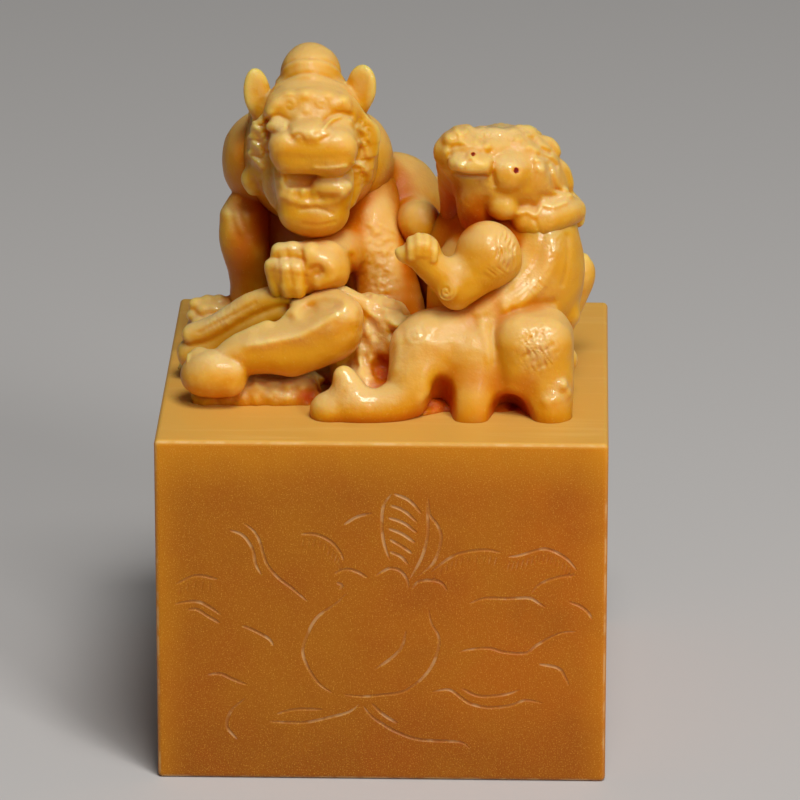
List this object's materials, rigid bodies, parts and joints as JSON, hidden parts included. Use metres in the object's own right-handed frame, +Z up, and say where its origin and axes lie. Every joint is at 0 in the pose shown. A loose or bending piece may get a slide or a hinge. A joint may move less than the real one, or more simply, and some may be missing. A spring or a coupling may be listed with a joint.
{
  "type": "carved seal",
  "caption": "Square stone seal block with a guardian lion, its cub and a scrolling ribbon carved on top and a lotus engraved on the front face.",
  "frame": {"origin": "centre of the printing face under the block", "axes": "+Z up through the carving, -Y towards the front face with the lotus, +X to the right as seen from the front"},
  "size_m": [0.055, 0.055, 0.085],
  "materials": {
    "sanded_stone": "fine sanded, lightly waxed",
    "polished_stone": "polished and waxed",
    "rough_stone": "left rough from the chisel"
  },
  "bodies": {
    "root": {"seal_block": "sanded_stone", "rocky_ground": "rough_stone", "centre_rock": "rough_stone", "lion_chest": "polished_stone", "lion_haunch": "polished_stone", "lion_back": "polished_stone", "lion_rump": "polished_stone", "lion_knee": "polished_stone", "lion_hind_paw": "polished_stone", "lion_tail": "polished_stone", "lion_left_shoulder": "polished_stone", "lion_right_shoulder": "polished_stone", "lion_skull": "polished_stone", "lion_mane": "polished_stone", "lion_muzzle": "polished_stone", "lion_nose": "polished_stone", "lion_lower_jaw": "polished_stone", "lion_topknot": "polished_stone", "lion_left_brow": "polished_stone", "lion_left_ear": "polished_stone", "lion_left_cheek": "polished_stone", "lion_right_brow": "polished_stone", "lion_right_ear": "polished_stone", "lion_right_cheek": "polished_stone", "lion_left_foreleg": "polished_stone", "lion_right_upper_foreleg": "polished_stone", "lion_right_forearm": "polished_stone", "lion_left_paw": "polished_stone", "lion_right_paw": "polished_stone", "cub_spine": "polished_stone", "cub_hips": "polished_stone", "cub_flank": "polished_stone", "cub_haunch": "polished_stone", "cub_right_leg": "polished_stone", "cub_middle_leg": "polished_stone", "cub_left_leg": "polished_stone", "cub_tail": "polished_stone", "cub_skull": "polished_stone", "cub_mane": "polished_stone", "cub_muzzle": "polished_stone", "cub_lower_jaw": "polished_stone", "cub_left_brow": "polished_stone", "cub_left_ear": "polished_stone", "cub_right_brow": "polished_stone", "cub_right_ear": "polished_stone", "cub_shoulder": "polished_stone", "cub_foreleg": "polished_stone", "cub_paw": "polished_stone", "ribbon_curl": "polished_stone", "ribbon_knob": "polished_stone", "ribbon_band": "polished_stone", "ribbon_strand": "polished_stone"}
  },
  "joints": []
}
